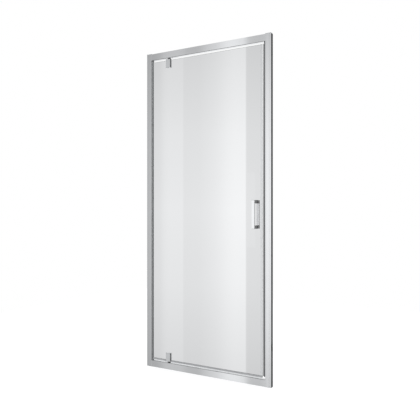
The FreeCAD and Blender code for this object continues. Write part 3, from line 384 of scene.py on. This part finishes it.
def drawn_aluminium(name, along, light, dark):
    """Polished anodised extrusion, with die lines along its length."""
    material, n = finish(name, light, metallic=1.0, roughness=0.06)
    lines = pattern(n, 0.6 * MM, 3.0, along)
    clouds = pattern(n, 60 * MM, 2.0)
    vary_colour(n, clouds, dark, light)
    vary_roughness(n, lines, 0.04, 0.08)
    raise_surface(n, lines, 0.002 * MM, 0.5)
    return material


def chrome(name, colour):
    """Bright chrome plate, with the faint ripple of the polished casting under it."""
    material, n = finish(name, colour, metallic=1.0, roughness=0.04)
    ripple = pattern(n, 6 * MM, 1.0)
    handling = pattern(n, 14 * MM, 4.0)
    vary_roughness(n, handling, 0.02, 0.045)
    raise_surface(n, ripple, 0.004 * MM, 0.3)
    return material


def steel(name, colour, low, high):
    """Turned steel, with fine tool marks."""
    material, n = finish(name, colour, metallic=1.0, roughness=0.3)
    marks = pattern(n, 0.25 * MM, 2.0)
    vary_roughness(n, marks, low, high)
    raise_surface(n, marks, 0.01 * MM, 0.4)
    return material


def moulded(name, dark, light, low, high, grain):
    """Moulded plastic with a fine spark-eroded grain."""
    material, n = finish(name, light, roughness=0.5)
    tone = pattern(n, 12 * MM, 3.0)
    skin = pattern(n, grain, 2.0)
    vary_colour(n, tone, dark, light)
    vary_roughness(n, skin, low, high)
    raise_surface(n, skin, 0.03 * MM, 0.5)
    return material


def extruded_seal(name, dark, light, low, high):
    """Soft extruded seal, with faint lines along its length."""
    material, n = finish(name, light, roughness=0.4, IOR=1.52)
    lines = pattern(n, 0.8 * MM, 2.0, UPRIGHT)
    tone = pattern(n, 40 * MM, 2.0)
    vary_colour(n, tone, dark, light)
    vary_roughness(n, lines, low, high)
    raise_surface(n, lines, 0.004 * MM, 0.5)
    return material


def clear_seal(name, glass_edge):
    """Seal extruded in grades: clear where it hugs the glass, milky beyond, grey at the magnet's face."""
    material, n = finish(name, (0.97, 0.975, 0.98), roughness=0.03, IOR=1.06)
    across = own_axes(n)["X"]
    milky = n.math("GREATER_THAN", across, glass_edge)
    n.join(n.math("SUBTRACT", 1.0, milky), n.shader.inputs["Transmission Weight"])
    haze = pattern(n, 25 * MM, 3.0, UPRIGHT)
    clear = n.mix(haze, (0.955, 0.96, 0.965, 1), (0.985, 0.988, 0.99, 1))
    shades = ((glass_edge + SEAL_MILKY, MILKY_LEVEL), (glass_edge + SEAL_GREY, GREY_LEVEL))
    n.join(n.mix(milky, clear, n.levels(across, shades)), n.shader.inputs["Base Color"])
    vary_roughness(n, haze, 0.01, 0.05)
    return material


def drip_seal(name, blade_top):
    """Seal extruded in two grades: a grey clip on the glass and a clear blade under it."""
    material, n = finish(name, (0.41, 0.415, 0.425), roughness=0.35, IOR=1.2)
    clear = n.math("LESS_THAN", own_axes(n)["Z"], blade_top)
    n.join(clear, n.shader.inputs["Transmission Weight"])
    tone = n.mix(pattern(n, 30 * MM, 3.0), (0.42, 0.425, 0.435, 1), (0.48, 0.485, 0.495, 1))
    n.join(n.mix(clear, tone, (0.96, 0.97, 0.975, 1)), n.shader.inputs["Base Color"])
    lines = pattern(n, 0.5 * MM, 2.0, LEVEL)
    vary_roughness(n, lines, 0.12, 0.3)
    raise_surface(n, lines, 0.004 * MM, 0.5)
    return material


def rubber(name):
    """Black rubber with a dull, slightly dusty skin."""
    material, n = finish(name, (0.02, 0.02, 0.021), roughness=0.7)
    dust = pattern(n, 3 * MM, 5.0)
    vary_colour(n, dust, (0.014, 0.014, 0.015), (0.035, 0.035, 0.036))
    vary_roughness(n, dust, 0.55, 0.8)
    raise_surface(n, dust, 0.02 * MM, 0.4)
    return material


def outside(n, value, low, high):
    """1 where the value lies beyond either limit, else 0."""
    return n.math("MAXIMUM", n.math("LESS_THAN", value, low), n.math("GREATER_THAN", value, high))


def safety_glass(name, low, high):
    """Clear toughened glass with the rollers' slow ripple, and ground edges: pale at the ends, a painted
    light, and darker and dullest at the sides, a painted shade.
    """
    clear, lit_ends_green, shaded_sides_green = (0.995, 0.996, 1.0), (0.60, 0.69, 0.65), (0.26, 0.30, 0.285)
    dull_ends, ground_roughness = 0.25, 0.5
    material, n = finish(name, clear, roughness=0.0, Transmission_Weight=1.0, IOR=1.52)
    axes = own_axes(n)
    sides = outside(n, axes["X"], low.x + GROUND_EDGE, high.x - GROUND_EDGE)
    ends = outside(n, axes["Z"], low.z + GROUND_EDGE, high.z - GROUND_EDGE)
    ground = n.math("MAXIMUM", sides, ends)
    dull = n.math("MAXIMUM", sides, n.math("MULTIPLY", ends, dull_ends))
    # Painted light and shade: one ground finish is split into a pale green for the ends and a dark copy for
    # the side edges, where the frame's shade is painted on. The sides are also made fully opaque so that the
    # dark shows.
    tone = n.mix(ends, (*clear, 1), (*lit_ends_green, 1))
    n.join(n.mix(sides, tone, (*shaded_sides_green, 1)), n.shader.inputs["Base Color"])
    n.join(n.math("SUBTRACT", 1.0, dull), n.shader.inputs["Transmission Weight"])
    n.join(n.math("MULTIPLY", ground, ground_roughness), n.shader.inputs["Roughness"])
    rollers = n.add("TexWave", wave_type="BANDS", bands_direction="Z")
    rollers.inputs["Scale"].default_value = 1.1
    rollers.inputs["Distortion"].default_value = 0.6
    n.join(own_place(n), rollers.inputs["Vector"])
    raise_surface(n, rollers.outputs["Fac"], 0.01 * MM, 0.3)
    return material


def bound_magnet(name, level):
    """Magnet powder bound in rubber: a slightly speckled grey of the given level."""
    material, n = finish(name, (level, level, level), roughness=0.6)
    specks = pattern(n, 0.4 * MM, 2.0)
    vary_colour(n, specks, (0.8 * level,) * 3, (1.2 * level,) * 3)
    vary_roughness(n, specks, 0.45, 0.7)
    return material


def looks_up(face):
    return face.normal.z > 0.9


def looks_down(face):
    return face.normal.z < -0.9


def select_faces(piece, wanted):
    """Leaves the piece in edit mode with the faces selected that pass the test."""
    bpy.ops.object.mode_set(mode="EDIT")
    bpy.ops.mesh.select_mode(type="FACE")
    bpy.ops.mesh.select_all(action="DESELECT")
    bpy.ops.object.mode_set(mode="OBJECT")
    for face in piece.data.polygons:
        face.select = wanted(face)
    bpy.ops.object.mode_set(mode="EDIT")


def turned_blank(name, radius, length):
    """A round shank from z = 0 down, with a bevelled tip; the head or socket is worked into its top."""
    tip = radius / 4
    bpy.ops.object.select_all(action="DESELECT")
    bpy.ops.mesh.primitive_cylinder_add(
        vertices=SCREW_SIDES, radius=radius, depth=length - tip, location=(0, 0, (tip - length) / 2))
    screw = bpy.context.object
    screw.name = name
    bpy.ops.object.transform_apply(location=True, rotation=True, scale=True)
    select_faces(screw, looks_down)
    bpy.ops.mesh.inset(thickness=tip, depth=tip)
    bpy.ops.object.mode_set(mode="OBJECT")
    return screw


def countersunk_head(screw, radius, head_radius):
    """Spreads the top of a shank to a countersunk, slightly domed head, with the edge of its rim at z = 0."""
    cone = head_radius - radius - HEAD_RIM
    select_faces(screw, looks_up)
    bpy.ops.transform.translate(value=(0, 0, -cone - HEAD_RIM))
    bpy.ops.mesh.extrude_region_move(TRANSFORM_OT_translate={"value": (0, 0, cone)})
    spread = (radius + cone) / radius
    bpy.ops.transform.resize(value=(spread, spread, 1), center_override=(0, 0, -HEAD_RIM))
    bpy.ops.mesh.extrude_region_move(TRANSFORM_OT_translate={"value": (0, 0, HEAD_RIM)})
    bpy.ops.mesh.inset(thickness=HEAD_RIM, depth=0.0)
    dome = 0.3 * HEAD_RIM
    bpy.ops.transform.translate(value=(0, 0, dome))
    bpy.ops.object.mode_set(mode="OBJECT")


def cut(piece, cutter):
    """Takes the cutter's form out of the piece and clears the cutter away."""
    bpy.ops.object.select_all(action="DESELECT")
    bpy.context.view_layer.objects.active = piece
    piece.select_set(True)
    hollow = piece.modifiers.new("hollow", "BOOLEAN")
    hollow.operation = "DIFFERENCE"
    hollow.solver = "EXACT"
    hollow.object = cutter
    bpy.ops.object.modifier_apply(modifier="hollow")
    bpy.data.objects.remove(cutter)


def hexagon_socket(screw, across_corners, depth):
    """A hexagon socket with the cone of the drill at its bottom."""
    bpy.ops.object.select_all(action="DESELECT")
    bpy.ops.mesh.primitive_cylinder_add(vertices=6, radius=across_corners / 2, depth=2 * depth)
    key = bpy.context.object
    select_faces(key, looks_down)
    drill_point, drill_end = 0.3 * depth, 0.1
    bpy.ops.mesh.extrude_region_move(TRANSFORM_OT_translate={"value": (0, 0, -drill_point)})
    bpy.ops.transform.resize(value=(drill_end, drill_end, 1), center_override=(0, 0, 0))
    bpy.ops.object.mode_set(mode="OBJECT")
    cut(screw, key)


def cross_recess(screw, reach, width, depth):
    """Two crossed slots that taper to the bottom."""
    taper = 0.45
    for turn in (0, math.pi / 2):
        bpy.ops.object.select_all(action="DESELECT")
        bpy.ops.mesh.primitive_cube_add(size=1, rotation=(0, 0, turn))
        blade = bpy.context.object
        blade.scale = (reach, width, 2 * depth)
        bpy.ops.object.transform_apply(location=True, rotation=True, scale=True)
        select_faces(blade, looks_down)
        bpy.ops.transform.resize(value=(taper, taper, 1), center_override=(0, 0, -depth))
        bpy.ops.object.mode_set(mode="OBJECT")
        cut(screw, blade)


def set_screws(pattern_screw, name, places, outward, node, body, material):
    """Copies of a finished screw at their places, joined as the piece that stands for one CAD node."""
    copies = []
    for place in places:
        copy = pattern_screw.copy()
        copy.data = pattern_screw.data.copy()
        bpy.context.scene.collection.objects.link(copy)
        copy.location = place
        copy.rotation_euler = Vector(outward).to_track_quat("Z", "Y").to_euler()
        copies.append(copy)
    bpy.ops.object.select_all(action="DESELECT")
    for copy in copies:
        copy.select_set(True)
    bpy.context.view_layer.objects.active = copies[0]
    bpy.ops.object.join()
    bpy.ops.object.transform_apply(location=True, rotation=True, scale=True)
    bpy.ops.object.shade_smooth_by_angle(angle=SMOOTH_UP_TO)
    screws = copies[0]
    screws.name = name
    screws.data.materials.clear()
    screws.data.materials.append(material)
    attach(screws, body)
    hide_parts(node)


def screws_with_sockets(material):
    """The screws whose heads show, each modelled once: clamp, grub and carrier screws."""
    clamp = turned_blank("clamp_screw", CLAMP_RADIUS, CLAMP_LENGTH)
    countersunk_head(clamp, CLAMP_RADIUS, CLAMP_HEAD_RADIUS)
    hexagon_socket(clamp, *CLAMP_SOCKET)
    carrier = turned_blank("carrier_screw", CARRIER_RADIUS, CARRIER_LENGTH)
    countersunk_head(carrier, CARRIER_RADIUS, CARRIER_HEAD_RADIUS)
    cross_recess(carrier, *CARRIER_RECESS)
    grub = turned_blank("grub_screw", GRUB_RADIUS, GRUB_LENGTH)
    hexagon_socket(grub, *GRUB_SOCKET)
    for end in ("top", "bottom"):
        low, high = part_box(end + "_clamp_screws")
        middle = (low.x + high.x) / 2
        places = [(middle, high.y, z) for z in (low.z + CLAMP_HEAD_RADIUS, high.z - CLAMP_HEAD_RADIUS)]
        set_screws(clamp, end + "_clamp_socket_screws", places, (0, 1, 0), end + "_clamp_screws",
                   "leaf", material)
        low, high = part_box(end + "_carrier_screws")
        face, out = (low.z, -1) if end == "top" else (high.z, 1)
        places = [(x, 0, face) for x in (low.x + CARRIER_HEAD_RADIUS, high.x - CARRIER_HEAD_RADIUS)]
        set_screws(carrier, end + "_carrier_cross_screws", places, (0, 0, out), end + "_carrier_screws",
                   "frame", material)
    low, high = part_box("handle_grub_screws")
    places = [(low.x, (low.y + high.y) / 2, z) for z in (low.z + GRUB_RADIUS, high.z - GRUB_RADIUS)]
    set_screws(grub, "handle_grub_socket_screws", places, (-1, 0, 0), "handle_grub_screws", "leaf", material)
    for screw in (clamp, carrier, grub):
        bpy.data.objects.remove(screw)


def dress(names, material):
    """Gives CAD pieces their finish."""
    for name in names:
        mesh = NODES[name].data
        mesh.materials.clear()
        mesh.materials.append(material)


def dress_metal(screws):
    """Frame, handles, pivot blocks, pins and screws."""
    bright = ((0.80, 0.805, 0.815), (0.77, 0.775, 0.785))
    upright = drawn_aluminium("bright_aluminium_upright", UPRIGHT, *bright)
    level = drawn_aluminium("bright_aluminium_level", LEVEL, *bright)
    wall = drawn_aluminium("wall_aluminium", UPRIGHT, (0.77, 0.775, 0.785), (0.73, 0.735, 0.745))
    dress(["jamb_left", "jamb_right"], upright)
    dress(["top_rail", "bottom_rail"], level)
    dress(["wall_profile_left", "wall_profile_right"], wall)
    dress(["handle_front", "handle_back"], chrome("chrome_plate", (0.88, 0.885, 0.895)))
    dress(["top_pivot_block", "bottom_pivot_block", "top_clamp_plate", "bottom_clamp_plate"],
          chrome("pivot_chrome", (0.73, 0.74, 0.75)))
    dress(["corner_screws", "width_screws", "top_carrier_screws", "bottom_carrier_screws",
           "top_clamp_screws", "bottom_clamp_screws", "handle_studs", "handle_grub_screws"], screws)
    dress(["top_pivot_pin", "bottom_pivot_pin"], steel("pivot_steel", (0.56, 0.56, 0.57), 0.18, 0.3))


def dress_plastics():
    """End caps, sleeves, carriers, bushes, gaskets and magnets."""
    caps = moulded("end_cap_plastic", (0.42, 0.425, 0.43), (0.46, 0.465, 0.47), 0.3, 0.45, 0.4 * MM)
    white = moulded("white_nylon", (0.78, 0.78, 0.76), (0.84, 0.84, 0.82), 0.35, 0.5, 0.3 * MM)
    grey = moulded("grey_nylon", (0.30, 0.30, 0.31), (0.35, 0.35, 0.36), 0.35, 0.5, 0.3 * MM)
    dark = moulded("dark_nylon", (0.035, 0.035, 0.037), (0.05, 0.05, 0.052), 0.35, 0.5, 0.3 * MM)
    dress(["end_cap_left", "end_cap_right", "width_screw_caps"], caps)
    dress(["top_clamp_sleeves", "bottom_clamp_sleeves", "handle_sleeves"], white)
    dress(["top_pivot_carrier", "bottom_pivot_carrier"], grey)
    dress(["top_pivot_bush", "bottom_pivot_bush", "thrust_washer"], dark)
    dress(["top_block_gaskets", "bottom_block_gaskets", "handle_gaskets"], rubber("black_gasket"))
    dress(["strike_magnet"], bound_magnet("magnet_strip", 0.05))
    dress(["closing_magnet"], bound_magnet("pale_magnet_strip", 0.88))


def dress_glass_and_seals():
    """The pane, and the seals on it and beside it."""
    low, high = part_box("glass_leaf")
    dark = extruded_seal("dark_seal", (0.125, 0.128, 0.132), (0.155, 0.158, 0.163), 0.35, 0.5)
    grey = extruded_seal("grey_seal", (0.39, 0.395, 0.40), (0.43, 0.435, 0.44), 0.35, 0.5)
    dress(["glass_leaf"], safety_glass("safety_glass", low, high))
    dress(["strike_seal"], dark)
    dress(["hinge_seal"], grey)
    dress(["closing_seal"], clear_seal("clear_seal", high.x))
    dress(["bottom_seal_left", "bottom_seal_right"], drip_seal("drip_seal", low.z - DRIP_CHAMBER))


def studio():
    """World, floor, camera and lamps."""
    bpy.context.scene.view_settings.view_transform = "Standard"
    studio_world()
    studio_floor()
    studio_camera()
    for lamp in LAMPS:
        soft_lamp(*lamp)


screw_steel = steel("screw_steel", (0.62, 0.62, 0.63), 0.22, 0.38)
dress_metal(screw_steel)
dress_plastics()
dress_glass_and_seals()
screws_with_sockets(screw_steel)
studio()
